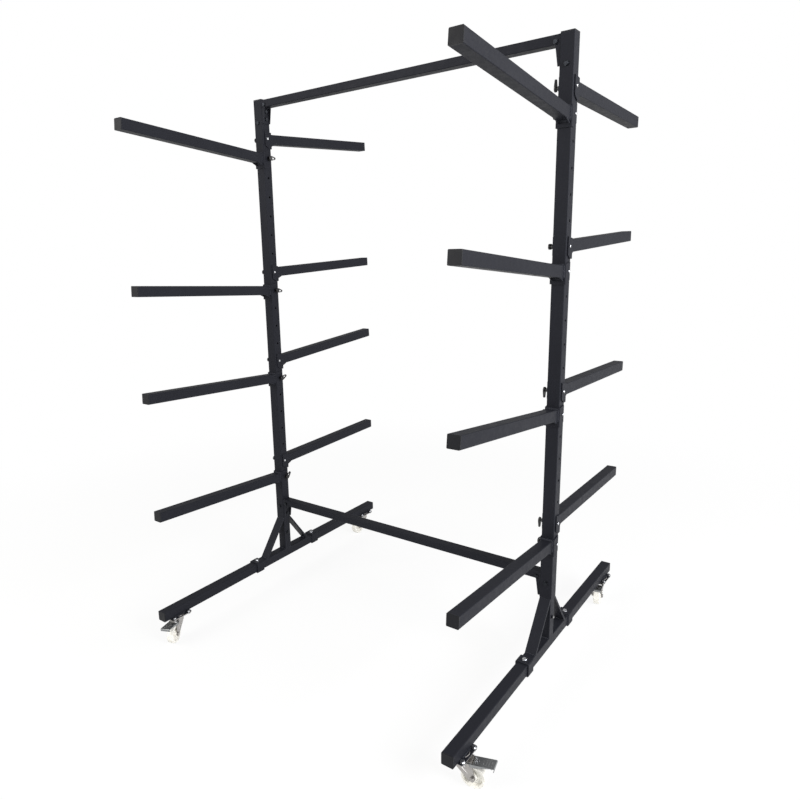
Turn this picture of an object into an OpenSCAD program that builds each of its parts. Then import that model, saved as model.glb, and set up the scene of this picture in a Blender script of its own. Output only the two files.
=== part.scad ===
// Freestanding boat rack on braked swivel casters.
// Two square uprights carry arms on both sides, each hung on a U-shaped saddle
// that straddles the tube and is held by a pull pin in one of its holes.
// Millimetres. The origin is on the floor, midway between the two uprights.
// X runs from the left upright to the right one, -Y is the front, Z is up.

/* [Uprights] */
// Distance between the centres of the two uprights
upright_span = 1328; // [1000:1:1800]
// Height of the top of the uprights above the floor
rack_h = 2188; // [2180:1:2600]
// Side of the square upright tube
upright_w = 45; // [42:1:48]
// Wall of the upright tube
upright_wall = 2; // [1.5:0.1:2.5]
// Height of the lower end of the uprights above the floor
upright_foot = 306; // [290:1:320]
// Outer corner radius of all the square tubes
tube_r = 3; // [2.5:0.5:4]

/* [Holes for the pins] */
// Distance from one pin hole to the next
hole_pitch = 80; // [78:1:84]
// Height of the lowest pin hole above the floor
hole_first = 516; // [490:1:530]
// Diameter of the pin holes
hole_d = 10; // [8:0.5:12]
// Least distance from the highest hole to the top of the upright
hole_top_margin = 120; // [110:1:150]

/* [Arms] */
// Levels of the front arms of the left upright, as shares of its row of holes, from the top down
left_levels = [0.95, 0.58, 0.32, 0];
// Levels of the front arms of the right upright, as shares of its row of holes, from the top down
right_levels = [0.95, 0.63, 0.32, 0];
// Reach of the arms from the face of the upright
arm_reach = 687; // [400:1:800]
// Width of the arm tube
arm_w = 40; // [36:1:44]
// Height of the arm tube
arm_h = 40; // [36:1:42]
// Wall of the arm tube
arm_wall = 2; // [1.5:0.1:2.5]
// Rise of the front left arms in degrees, from the top down
rise_front_left = [5, 3.5, 3, 3];
// Rise of the front right arms in degrees, from the top down
rise_front_right = [6.5, 5.5, 6.5, 3.5];
// Rise of the rear left arms in degrees, from the top down
rise_rear_left = [3, 2, 4, 1.5];
// Rise of the rear right arms in degrees, from the top down
rise_rear_right = [-1.5, 2.5, -2, -1];

/* [Saddles] */
// Height of the saddle's cheeks above the pin, at their free edge
saddle_top = 31; // [28:1:36]
// Height of the saddle's web above the pin
saddle_web_top = 25; // [24:1:28]
// Depth of the saddle below the pin
saddle_low = 40; // [34:1:44]
// Thickness of the saddle plate
saddle_t = 4; // [3:0.5:5]
// Distance from the pin to the free edge of the saddle's cheeks
saddle_tail = 11; // [9:0.5:14]
// Length of the bevel under the free end of each cheek
saddle_bevel = 20; // [8:1:24]
// Height of that bevel
saddle_bevel_h = 13; // [6:1:16]
// Reach of the two ribs under each arm from the upright's middle
rib_reach = 52; // [44:1:60]
// Depth of the ribs below the pin where they meet the saddle
rib_low = 31; // [28:1:33]
// Thickness of the ribs
rib_t = 4; // [3:0.5:5]
// Leg of the fillet weld between the arm and its saddle
bead = 3.5; // [2:0.5:4]

/* [Lock pins] */
// Length of the pin that stands out on the far side of the saddle
pin_tip = 3.5; // [2:0.5:8]
// Radius of the stop collar on the pin
collar_r = 8; // [7:0.5:9]
// Thickness of the stop collar
collar_t = 4; // [2:0.5:6]
// Distance from the saddle's cheek to the pull loop
loop_off = 10.5; // [6:0.5:16]
// Thickness of the pull loop
loop_t = 5; // [4:0.5:7]
// Length of the pear-shaped pull loop from the pin's axis to its tip
loop_len = 28; // [26:1:34]
// Width of the pull loop at its tip
loop_tip = 8; // [7:0.5:10]
// Width of the pull loop's bars
loop_bar = 3.5; // [3:0.1:4]
// Width of the pull loop round the pin
loop_root = 19; // [18:0.5:22]
// Turn of the front left loops in degrees, from the top down
turn_front_left = [0, -10, 20, 45];
// Turn of the front right loops in degrees, from the top down
turn_front_right = [0, 0, 0, 0];
// Turn of the rear left loops in degrees, from the top down
turn_rear_left = [180, 180, 180, 180];
// Turn of the rear right loops in degrees, from the top down
turn_rear_right = [90, 180, -90, -90];

/* [Crossbars] */
// Width of the crossbar tube, front to back
bar_w = 40; // [34:1:40]
// Height of the crossbar tube
bar_h = 30; // [26:1:34]
// Wall of the crossbar tube
bar_wall = 2; // [1.5:0.1:2.5]
// Height of the lower crossbar's middle above the floor
low_bar_z = 388; // [384:1:400]
// Thickness of the end bracket's plate
bracket_t = 3; // [2:0.5:4]
// Length of the end bracket below the bar
bracket_drop = 62; // [56:1:66]
// How far the bracket's cheeks stand out under the bar
bracket_top = 16; // [14:1:24]
// How far the bracket's cheeks stand out at their lower end
bracket_end = 7; // [5:1:10]
// Length of the stub that plugs into the bar
stub_len = 40; // [30:1:80]

/* [Feet] */
// Height of a caster, from the floor to the top of its plate
caster_h = 102; // [101:0.5:104]
// Side of the square leg tube, and of the base tube between the legs
leg_w = 40; // [36:1:42]
// Wall of the leg tube and of the base tube
leg_wall = 2; // [1.5:0.1:2.5]
// Reach of the front legs from the middle of the rack
front_leg_reach = 736; // [500:1:900]
// Reach of the rear legs from the middle of the rack
rear_leg_reach = 709; // [500:1:900]
// Side of the square sleeve that joins each leg to the base tube
sleeve_w = 50; // [46:1:54]
// Length of the sleeve
sleeve_len = 42; // [36:1:60]
// Distance from the middle of the rack to the middle of the sleeve and its bolt
sleeve_y = 194; // [185:1:230]
// Length of the sleeve that laps the base tube
sleeve_lap = 5; // [4:0.5:8]
// Length of the leg's spigot inside the base tube
spigot_len = 80; // [40:1:100]
// Wall of the post that stands on the base tube
post_wall = 2.5; // [2:0.1:3]
// Length of the post that goes up inside the upright
post_insert = 110; // [80:1:130]
// Distance from the middle to the foot of the diagonal braces
brace_foot = 145; // [130:1:160]
// Width of the flat bar of the diagonal braces
brace_w = 40; // [34:1:40]
// Thickness of that flat bar
brace_t = 8; // [5:0.5:12]

/* [Casters] */
// Distance from the leg's end to the caster plate
plate_in = 29; // [10:1:60]
// Length of the caster plate along the leg
plate_l = 96; // [90:1:110]
// Width of the caster plate across the leg
plate_w = 68; // [68:1:80]
// Thickness of the caster plate and of the plate welded to the leg
plate_t = 3; // [2.5:0.1:3.5]
// Bolt spacing along the leg
plate_bolt_l = 72; // [66:1:76]
// Diameter of the wheel
wheel_d = 75; // [72:1:76]
// Width of the wheel's tread
wheel_w = 26; // [22:1:28]
// Distance from the swivel axis to the axle
trail = 44; // [42:1:46]
// Thickness of the fork's cheeks
fork_t = 2.5; // [2:0.1:3]
// Radius of the kingpin
king_r = 5; // [4:0.5:6]
// Radius of the axle bolt
axle_r = 4; // [3:0.5:5]
// Reach of the brake pedal from the swivel axis
pedal_reach = 110; // [100:1:116]
// Rise of the brake pedal's tread from its hinge to its tip
pedal_rise = 9; // [4:0.5:9]
// Depth of the lip at the pedal's tip
pedal_lip = 12; // [6:0.5:14]
// Heading of the front left caster in degrees from +X
heading_front_left = -65; // [-180:1:180]
// Heading of the front right caster in degrees from +X
heading_front_right = 11; // [-180:1:180]
// Heading of the rear left caster in degrees from +X
heading_rear_left = -93; // [-180:1:180]
// Heading of the rear right caster in degrees from +X
heading_rear_right = -80; // [-180:1:180]

/* [Small parts] */
// Diameter of the frame bolts
bolt_d = 8; // [6:1:8]
// Width across the flats of the bolt heads and nuts
bolt_af = 13; // [10:1:13]
// Height of the bolt heads
bolt_head = 5; // [4:0.5:6]
// Thickness of the plastic end caps
cap_t = 4; // [2:0.5:8]
// Length of the plug behind each end cap
cap_plug = 14; // [8:1:20]
// Gap between pieces that are fitted together and do not move
fit = 0.3; // [0.2:0.05:0.4]
// Gap all round between a shaft and its bore
run = 0.05; // [0.02:0.01:0.1]

/* [Hidden] */

// Sides: -1 is left or front, +1 is right or rear
left = -1;
right = 1;
front = -1;
rear = 1;

// Colours, as the photograph shows them
powder = [0.31, 0.32, 0.34];
zinc = [0.78, 0.79, 0.80];
grey_steel = [0.52, 0.53, 0.55];
black = [0.09, 0.09, 0.09];
nylon = [0.93, 0.92, 0.88];

// Overlap that joins welded pieces, and excess length of a cutter
weld = 1;
cut = 1;

// A rear arm hangs this many holes above its front one, so their pins miss each other
rear_step = 1;

// Tubes: the leg's middle height follows from the caster under it
leg_z = caster_h + plate_t + leg_w / 2;
leg_top = leg_z + leg_w / 2;
post_w = upright_w - 2 * upright_wall - 2 * fit;
spigot_w = leg_w - 2 * leg_wall - 2 * fit;
seam_y = sleeve_y - sleeve_len / 2 + sleeve_lap;
post_top = upright_foot + post_insert;
hole_count = 1 + floor((rack_h - hole_top_margin - hole_first) / hole_pitch);
top_bar_z = rack_h - bar_h / 2;

// Saddle: inner faces clear the upright by the fit
saddle_in = upright_w / 2 + fit;
saddle_out = saddle_in + saddle_t;
arm_tip = upright_w / 2 + arm_reach;
pin_r = hole_d / 2 - run;

// Bolt positions
bolt_hole = bolt_d + 2 * fit;
nut_h = 0.8 * bolt_d;
thin_nut_h = 0.55 * bolt_d;
bolt_end = 1.5;
foot_bolt_z = upright_foot + 59;
head_bolt_down = 88;
head_bolt_z = rack_h - head_bolt_down;
post_bolt_up = 82;
post_bolt_z = leg_top + post_bolt_up;
bar_bolt_in = 15;
bar_bolt_low = 5;
bracket_bolts = [14, 44];

// Caster heights above the floor, in the caster's own frame
plate_bolt_x = leg_w / 2 + bolt_af / 2 + 0.5;
plate_under = caster_h - plate_t;
race_low = plate_under - 3.7;
crown_top = race_low - fit;
crown_low = crown_top - 7;
yoke_t = 3;
fork_in = wheel_w / 2 + 2;
fork_out = fork_in + fork_t;
wheel_r = wheel_d / 2;
pedal_in = fork_out + fit;
pedal_t = 2.2;
pedal_out = pedal_in + pedal_t;
pedal_x = 30;
pedal_z = crown_low - 6;
pedal_pin_r = 3;

function leg_reach(sy) = sy == front ? front_leg_reach : rear_leg_reach;
function plate_y(sy) = leg_reach(sy) - plate_in - plate_l / 2;
function arm_hole(sx, sy, i) =
    round((sx == left ? left_levels : right_levels)[i - 1] * (hole_count - 1)) + (sy == rear ? rear_step : 0);
function arm_z(sx, sy, i) = hole_first + hole_pitch * arm_hole(sx, sy, i);
function rise(sx, sy, i) =
    sy == front
        ? (sx == left ? rise_front_left : rise_front_right)[i - 1]
        : (sx == left ? rise_rear_left : rise_rear_right)[i - 1];
function turn(sx, sy, i) =
    sy == front
        ? (sx == left ? turn_front_left : turn_front_right)[i - 1]
        : (sx == left ? turn_rear_left : turn_rear_right)[i - 1];
function heading(sx, sy) =
    sy == front
        ? (sx == left ? heading_front_left : heading_front_right)
        : (sx == left ? heading_rear_left : heading_rear_right);

// ---------- outlines and helpers ----------

// Rectangle with round corners
module rounded_rect(w, h, r) {
    square([w - 2 * r, h], center = true);
    square([w, h - 2 * r], center = true);
    for (sx = [-1, 1], sy = [-1, 1])
        translate([sx * (w / 2 - r), sy * (h / 2 - r)])
            circle(r = r, $fn = 24);
}

// Square tube standing on the XY plane
module tube(w, h, wall, len) {
    linear_extrude(len)
        difference() {
            rounded_rect(w, h, tube_r);
            rounded_rect(w - 2 * wall, h - 2 * wall, max(tube_r - wall, 0.6));
        }
}

// Points of the arc that rounds the corner p between its neighbours a and b
function corner_arc(a, p, b, r) =
    let (
        u = (a - p) / norm(a - p),
        v = (b - p) / norm(b - p),
        half = acos(u * v) / 2,
        c = p + (u + v) / norm(u + v) * r / sin(half),
        s = p + u * r / tan(half) - c,
        e = p + v * r / tan(half) - c,
        from = atan2(s[1], s[0]),
        sweep = (atan2(e[1], e[0]) - from + 540) % 360 - 180
    )
    [for (k = [0 : 6]) c + r * [cos(from + sweep * k / 6), sin(from + sweep * k / 6)]];

// Outline whose corners are rounded, each by its own radius
module rounded_outline(points, radii) {
    n = len(points);
    polygon([
        for (i = [0 : n - 1])
            each corner_arc(points[(i + n - 1) % n], points[i], points[(i + 1) % n], radii[i])
    ]);
}

// Turns a piece drawn along +Z so that it lies along +X or +Y
module along_x() rotate([0, 90, 0]) children();
module along_y() rotate([-90, 0, 0]) children();

// Turns an outline drawn in X and Y into the YZ plane, extruded along +X
module in_yz(thick) rotate([90, 0, 90]) linear_extrude(thick) children();

// Turns an outline drawn in X and Y into the XZ plane, centred on Y = y, thick along Y
module in_xz(y, thick)
    translate([0, y + thick / 2, 0])
        rotate([90, 0, 0]) linear_extrude(thick) children();

// Bolt whose head sits on the XY plane, with its nut at the depth of the grip
module bolt(grip, nut) {
    cylinder(d = bolt_af / cos(30), h = bolt_head, $fn = 6);
    translate([0, 0, -grip - nut - bolt_end])
        cylinder(d = bolt_d, h = grip + nut + bolt_end + 0.5, $fn = 32);
    translate([0, 0, -grip - nut])
        cylinder(d = bolt_af / cos(30), h = nut, $fn = 6);
}

// ---------- uprights ----------

module upright(sx) {
    color(powder)
        translate([sx * upright_span / 2, 0, 0])
            difference() {
                translate([0, 0, upright_foot])
                    tube(upright_w, upright_w, upright_wall, rack_h - upright_foot);
                for (n = [0 : hole_count - 1])
                    translate([-upright_w / 2 - cut, 0, hole_first + n * hole_pitch])
                        along_x() cylinder(d = hole_d, h = upright_w + 2 * cut, $fn = 32);
                for (z = [foot_bolt_z, head_bolt_z])
                    translate([0, -upright_w / 2 - cut, z])
                        along_y() cylinder(d = bolt_hole, h = upright_w + 2 * cut, $fn = 24);
                for (z = [top_bar_z, low_bar_z], b = bracket_bolts)
                    translate([-sx * upright_w / 2, 0, z - bar_h / 2 - b])
                        along_x()
                            cylinder(d = bolt_hole, h = 4 * upright_wall, center = true, $fn = 24);
            }
}

// ---------- arms ----------

// Saddle: a folded plate whose web lies on the upright and whose cheeks pass the pin
module saddle() {
    difference() {
        intersection() {
            // plan: a U with rounded outer bends
            translate([0, 0, -saddle_low])
                linear_extrude(saddle_low + saddle_top)
                    difference() {
                        union() {
                            translate([0, saddle_out / 2 - saddle_tail])
                                square([2 * saddle_out, saddle_out], center = true);
                            translate([0, saddle_out / 2 - saddle_t])
                                rounded_rect(2 * saddle_out, saddle_out + 2 * saddle_t, saddle_t);
                        }
                        translate([-saddle_in, -2 * saddle_tail])
                            square([2 * saddle_in, 2 * saddle_tail + saddle_in]);
                    }
            // side view: the top falls toward the web, the lower free corner is bevelled
            translate([-saddle_out - cut, 0, 0])
                in_yz(2 * saddle_out + 2 * cut)
                    polygon([
                        [saddle_out, saddle_web_top],
                        [-saddle_tail, saddle_top],
                        [-saddle_tail, saddle_bevel_h - saddle_low],
                        [saddle_bevel - saddle_tail, -saddle_low],
                        [saddle_out, -saddle_low]
                    ]);
        }
        translate([-saddle_out - cut, 0, 0])
            along_x() cylinder(d = hole_d, h = 2 * saddle_out + 2 * cut, $fn = 32);
    }
}

// Arm tube welded to the saddle's web at its rise, with the end cut square to the tube
module arm(sx, sy, i) {
    a = rise(sx, sy, i);
    len = (arm_tip - saddle_out) / cos(a);
    color(powder)
        translate([sx * upright_span / 2, 0, arm_z(sx, sy, i)])
            rotate([0, 0, sy == front ? 180 : 0]) {
                saddle();
                difference() {
                    translate([0, saddle_out, 0])
                        rotate([a, 0, 0])
                            translate([0, -arm_h, 0])
                                along_y() tube(arm_w, arm_h, arm_wall, len + arm_h - cap_t);
                    translate([-arm_w, -arm_w - saddle_t, -arm_h * 2])
                        cube([2 * arm_w, arm_w + saddle_out, arm_h * 4]);
                }
                arm_weld(a);
                arm_ribs(a);
            }
}

// Fillet weld round the arm's root: above, below and on both sides of the tube
module arm_weld(a) {
    root_z = arm_h / 2 / cos(a);
    toe_y = saddle_out + bead;
    toe_rise = bead * tan(a);
    for (s = [-1, 1])
        translate([(tube_r - arm_w) / 2, 0, 0])
            in_yz(arm_w - tube_r)
                polygon([
                    [saddle_out - weld, s * (root_z - weld)],
                    [saddle_out - weld, s * (root_z + bead)],
                    [saddle_out, s * (root_z + bead)],
                    [toe_y, s * root_z + toe_rise],
                    [toe_y, s * (root_z - weld) + toe_rise]
                ]);
    for (s = [-1, 1])
        translate([0, 0, (tube_r - arm_h) / 2])
            linear_extrude(arm_h - tube_r)
                polygon([
                    [s * (arm_w / 2 - weld), saddle_out - weld],
                    [s * (arm_w / 2 + bead), saddle_out - weld],
                    [s * (arm_w / 2 + bead), saddle_out],
                    [s * arm_w / 2, toe_y],
                    [s * (arm_w / 2 - weld), toe_y]
                ]);
}

// Two ribs under the arm's root, just inside its sides
module arm_ribs(a) {
    under = function (y) (y - saddle_out) * tan(a) - arm_h / 2 / cos(a);
    root_y = saddle_out - weld;
    for (s = [-1, 1])
        translate([s * (arm_w - rib_t - 2 * weld) / 2 - rib_t / 2, 0, 0])
            in_yz(rib_t)
                polygon([
                    [root_y, under(root_y) + weld],
                    [rib_reach, under(rib_reach) + weld],
                    [rib_reach, under(rib_reach) - weld],
                    [root_y, -rib_low]
                ]);
}

// Plastic cap: a thin head over the tube's end and a plug inside it
module end_cap(w, h, wall) {
    linear_extrude(cap_t)
        rounded_rect(w, h, tube_r);
    translate([0, 0, -cap_plug])
        linear_extrude(cap_plug + cap_t / 2)
            rounded_rect(w - 2 * wall - 2 * fit, h - 2 * wall - 2 * fit, 1.6);
}

module arm_end_caps() {
    color(black)
        for (sx = [left, right], sy = [front, rear], i = [1 : 4]) {
            a = rise(sx, sy, i);
            len = (arm_tip - saddle_out) / cos(a);
            translate([sx * upright_span / 2, 0, arm_z(sx, sy, i)])
                rotate([0, 0, sy == front ? 180 : 0])
                    translate([0, saddle_out, 0])
                        rotate([a, 0, 0])
                            translate([0, len - cap_t, 0])
                                along_y() end_cap(arm_w, arm_h, arm_wall);
        }
}

// ---------- lock pins ----------

// Pull loop: a pear-shaped ring, round about the pin and narrow at its tip
module pull_loop() {
    root = loop_root / 2;
    tip = loop_tip / 2;
    shoulder = 0.6 * root;
    taper = (root - tip) / (loop_len - shoulder);
    half = function (x) root - taper * (x - shoulder);
    hole_in = pin_r + 4;
    hole_out = loop_len - loop_bar - 0.5;
    side = loop_bar * sqrt(1 + taper * taper);
    difference() {
        rounded_outline(
            [
                [-root, -root], [shoulder, -root], [loop_len, -tip],
                [loop_len, tip], [shoulder, root], [-root, root]
            ],
            [root - 0.5, 4, tip - 0.5, tip - 0.5, 4, root - 0.5]
        );
        rounded_outline(
            [
                [hole_in, side - half(hole_in)], [hole_out, side - half(hole_out)],
                [hole_out, half(hole_out) - side], [hole_in, half(hole_in) - side]
            ],
            [1.5, 0.9, 0.9, 1.5]
        );
    }
}

// Pin turned in one piece: bevelled tip, shaft, stop collar and riveted head
module pin_shaft() {
    tip = -saddle_out - pin_tip;
    stop = saddle_out + fit;
    loop_x = saddle_out + loop_off;
    head = loop_x + loop_t;
    along_x()
        rotate_extrude($fn = 48)
            polygon([
                [0, tip], [pin_r - 1, tip], [pin_r, tip + 1],
                [pin_r, stop], [collar_r, stop], [collar_r, stop + collar_t],
                [pin_r, stop + collar_t], [pin_r, head], [pin_r + 1.5, head],
                [pin_r + 1, head + 1.5], [0, head + 1.5]
            ]);
}

// Pin drawn with its loop on the +X side and pointing toward +Y. The loops stand on
// the inner side of the rack, but for the rear left ones, which stand on the outer side.
module lock_pin(sx, sy, i) {
    translate([sx * upright_span / 2, 0, arm_z(sx, sy, i)])
        mirror([sx == right || sy == rear ? 1 : 0, 0, 0])
            mirror([0, sy == rear ? 1 : 0, 0]) {
                color(zinc) pin_shaft();
                color(black)
                    translate([saddle_out + loop_off, 0, 0])
                        in_yz(loop_t)
                            rotate([0, 0, turn(sx, sy, i)]) pull_loop();
            }
}

// ---------- crossbars ----------

bar_end_x = upright_span / 2 - upright_w / 2 - bracket_t;

module crossbar(z) {
    color(powder)
        difference() {
            translate([fit - bar_end_x, 0, z])
                along_x() tube(bar_h, bar_w, bar_wall, 2 * bar_end_x - 2 * fit);
            for (sx = [left, right])
                translate([sx * (bar_end_x + bracket_t - bar_bolt_in), -bar_w / 2 - cut, z - bar_bolt_low])
                    along_y() cylinder(d = bolt_hole, h = bar_w + 2 * cut, $fn = 24);
        }
}

// End bracket: a back plate on the upright, a stub for the bar, and two tapered cheeks below it
module bracket() {
    stub_w = bar_w - 2 * bar_wall - 2 * fit;
    stub_h = bar_h - 2 * bar_wall - 2 * fit;
    cheek_top = -bar_h / 2 - fit;
    cheek_low = -bar_h / 2 - bracket_drop;
    difference() {
        union() {
            translate([-bracket_t, -bar_w / 2, cheek_low])
                cube([bracket_t, bar_w, bracket_drop + bar_h]);
            translate([-bracket_t - stub_len, 0, 0])
                along_x() tube(stub_h, stub_w, bar_wall, stub_len + weld);
            for (s = [-1, 1])
                in_xz(s * (bar_w - bracket_t) / 2, bracket_t)
                    polygon([
                        [0, cheek_top],
                        [-bracket_top, cheek_top],
                        [-bracket_end, cheek_low],
                        [0, cheek_low]
                    ]);
            // lip that closes the channel under the bar
            translate([-bracket_top, -bar_w / 2, cheek_top - bracket_t])
                cube([bracket_top, bar_w, bracket_t]);
        }
        for (b = bracket_bolts)
            translate([-bracket_t - cut, 0, -bar_h / 2 - b])
                along_x() cylinder(d = bolt_hole, h = bracket_t + 2 * cut, $fn = 24);
        translate([-bar_bolt_in, -bar_w / 2 - cut, -bar_bolt_low])
            along_y() cylinder(d = bolt_hole, h = bar_w + 2 * cut, $fn = 24);
    }
}

module crossbar_brackets() {
    color(powder)
        for (sx = [left, right], z = [top_bar_z, low_bar_z])
            translate([0, 0, z])
                mirror([sx == left ? 1 : 0, 0, 0])
                    translate([bar_end_x + bracket_t, 0, 0]) bracket();
}

// ---------- feet ----------

// Diagonal brace: a wide flat bar in the YZ plane whose top carries the upright's lower end
module brace() {
    top_y = upright_w / 2;
    rise_z = upright_foot - leg_top;
    run_y = brace_foot - top_y;
    down = brace_t * norm([run_y, rise_z]) / run_y;
    slope = rise_z / run_y;
    post_y = post_w / 2 - weld;
    low_z = leg_top - weld;
    in_z = function (y) upright_foot - down - slope * (y - top_y);
    out_y = function (z) top_y + (upright_foot - z) / slope;
    in_y = function (z) top_y + (upright_foot - down - z) / slope;
    translate([-brace_w / 2, 0, 0])
        in_yz(brace_w)
            polygon([
                [post_y, upright_foot],
                [top_y, upright_foot],
                [out_y(low_z), low_z],
                [in_y(low_z), low_z],
                [post_y, in_z(post_y)]
            ]);
}

// Square bar with round edges along +Y, starting at y, as a solid or a cutter
module square_bar(w, r, y, len)
    translate([0, y, leg_z]) along_y() linear_extrude(len) rounded_rect(w, w, r);

// Sleeve: welded round the end of the base tube, and open outward for the leg
module leg_sleeve() {
    start = sleeve_y - sleeve_len / 2;
    lap_w = leg_w - leg_wall;
    difference() {
        square_bar(sleeve_w, tube_r + 2, start, sleeve_len);
        square_bar(lap_w, tube_r - leg_wall / 2, start - cut, sleeve_len + 2 * cut);
        square_bar(leg_w + 2 * fit, tube_r + fit, seam_y, sleeve_len);
    }
}

module base(sx) {
    color(powder)
        translate([sx * upright_span / 2, 0, 0])
            difference() {
                union() {
                    translate([0, -seam_y, leg_z])
                        along_y() tube(leg_w, leg_w, leg_wall, 2 * seam_y);
                    translate([0, 0, leg_top - weld])
                        tube(post_w, post_w, post_wall, post_top - leg_top + weld);
                    for (s = [0, 1])
                        mirror([0, s, 0]) {
                            leg_sleeve();
                            brace();
                        }
                }
                for (s = [-1, 1])
                    translate([0, s * sleeve_y, leg_z])
                        cylinder(d = bolt_hole, h = sleeve_w + 2 * cut, center = true, $fn = 24);
                translate([-post_w / 2 - cut, 0, post_bolt_z])
                    along_x() cylinder(d = bolt_hole, h = post_w + 2 * cut, $fn = 24);
                translate([0, -post_w / 2 - cut, foot_bolt_z])
                    along_y() cylinder(d = bolt_hole, h = post_w + 2 * cut, $fn = 24);
                for (b = bracket_bolts)
                    translate([-sx * post_w / 2, 0, low_bar_z - bar_h / 2 - b])
                        along_x()
                            cylinder(d = bolt_hole, h = 4 * post_wall, center = true, $fn = 24);
            }
}

module plate_holes(d, z, h) {
    for (x = [-1, 1], y = [-1, 1])
        translate([x * plate_bolt_x, y * plate_bolt_l / 2, z])
            cylinder(d = d, h = h, $fn = 24);
}

// Leg tube with a spigot for the base tube, and the caster's mounting plate welded under it
module leg(sx, sy) {
    tube_start = seam_y + fit;
    held_w = leg_w - leg_wall;
    held_wall = (held_w - spigot_w) / 2 + leg_wall;
    color(powder)
        translate([sx * upright_span / 2, 0, 0])
            rotate([0, 0, sy == front ? 180 : 0])
                difference() {
                    union() {
                        translate([0, tube_start, leg_z])
                            along_y() tube(leg_w, leg_w, leg_wall, leg_reach(sy) - cap_t - tube_start);
                        // spigot, and its thicker end that is welded inside the leg
                        translate([0, seam_y - spigot_len, leg_z])
                            along_y() tube(spigot_w, spigot_w, leg_wall, spigot_len + 3 * weld);
                        translate([0, tube_start + weld, leg_z])
                            along_y() tube(held_w, held_w, held_wall, sleeve_len);
                        translate([0, plate_y(sy), caster_h])
                            linear_extrude(plate_t) rounded_rect(plate_w, plate_l, 6);
                    }
                    translate([0, plate_y(sy), 0])
                        plate_holes(bolt_hole, caster_h - cut, plate_t + 2 * cut);
                    translate([0, sleeve_y, leg_z])
                        cylinder(d = bolt_hole, h = sleeve_w, center = true, $fn = 24);
                }
}

module tube_end_caps() {
    color(black) {
        for (sx = [left, right], sy = [front, rear])
            translate([sx * upright_span / 2, sy * (leg_reach(sy) - cap_t), leg_z])
                rotate([0, 0, sy == front ? 180 : 0])
                    along_y() end_cap(leg_w, leg_w, leg_wall);
        for (sx = [left, right])
            translate([sx * upright_span / 2, 0, rack_h])
                end_cap(upright_w, upright_w, upright_wall);
    }
}

// ---------- fasteners ----------

module frame_bolts() {
    color(zinc) {
        for (sx = [left, right]) {
            // along Y: upright to post, and the upright's head
            for (z = [foot_bolt_z, head_bolt_z])
                translate([sx * upright_span / 2, -upright_w / 2, z])
                    rotate([90, 0, 0]) bolt(upright_w, nut_h);
            // along X: through the post above the base tube
            translate([sx * upright_span / 2 + post_w / 2, 0, post_bolt_z])
                along_x() bolt(post_w, nut_h);
            // along X: brackets to the upright, and at the foot to the post inside it
            for (b = bracket_bolts) {
                translate([sx * bar_end_x, 0, top_bar_z - bar_h / 2 - b])
                    rotate([0, -sx * 90, 0]) bolt(bracket_t + upright_wall, nut_h);
                translate([sx * bar_end_x, 0, low_bar_z - bar_h / 2 - b])
                    rotate([0, -sx * 90, 0])
                        bolt(bracket_t + upright_wall + fit + post_wall, nut_h);
            }
            // along Y: bars to their stubs
            for (z = [top_bar_z, low_bar_z])
                translate([sx * (bar_end_x + bracket_t - bar_bolt_in), -bar_w / 2, z - bar_bolt_low])
                    rotate([90, 0, 0]) bolt(bar_w, nut_h);
            // from above: through the sleeves and the legs
            for (sy = [front, rear])
                translate([sx * upright_span / 2, sy * sleeve_y, leg_z + sleeve_w / 2])
                    bolt(sleeve_w, nut_h);
        }
    }
}

module caster_bolts() {
    color(zinc)
        for (sx = [left, right], sy = [front, rear], x = [-1, 1], y = [-1, 1])
            translate([
                sx * upright_span / 2 + x * plate_bolt_x,
                sy * plate_y(sy) + y * plate_bolt_l / 2,
                caster_h + plate_t
            ])
                rotate([0, 0, 30]) bolt(2 * plate_t, thin_nut_h);
}

// ---------- casters ----------

module caster_place(sx, sy) {
    translate([sx * upright_span / 2, sy * plate_y(sy), 0])
        rotate([0, 0, heading(sx, sy)]) children();
}

// Fixed part of each caster: top plate, upper race cup and kingpin in one turned form
module caster_plates() {
    color(zinc)
        for (sx = [left, right], sy = [front, rear])
            translate([sx * upright_span / 2, sy * plate_y(sy), 0]) {
                difference() {
                    translate([0, 0, plate_under])
                        linear_extrude(plate_t) rounded_rect(plate_w, plate_l, 6);
                    plate_holes(bolt_hole, plate_under - cut, plate_t + 2 * cut);
                }
                rotate_extrude($fn = 64)
                    polygon([
                        [0, plate_under + weld], [26, plate_under + weld], [26, plate_under - 1.2],
                        [24, race_low], [king_r, race_low], [king_r, crown_low - fit],
                        [king_r + 4, crown_low - fit], [king_r + 4, crown_low - 2.5],
                        [king_r + 2.5, crown_low - 4], [0, crown_low - 4]
                    ]);
            }
}

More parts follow.
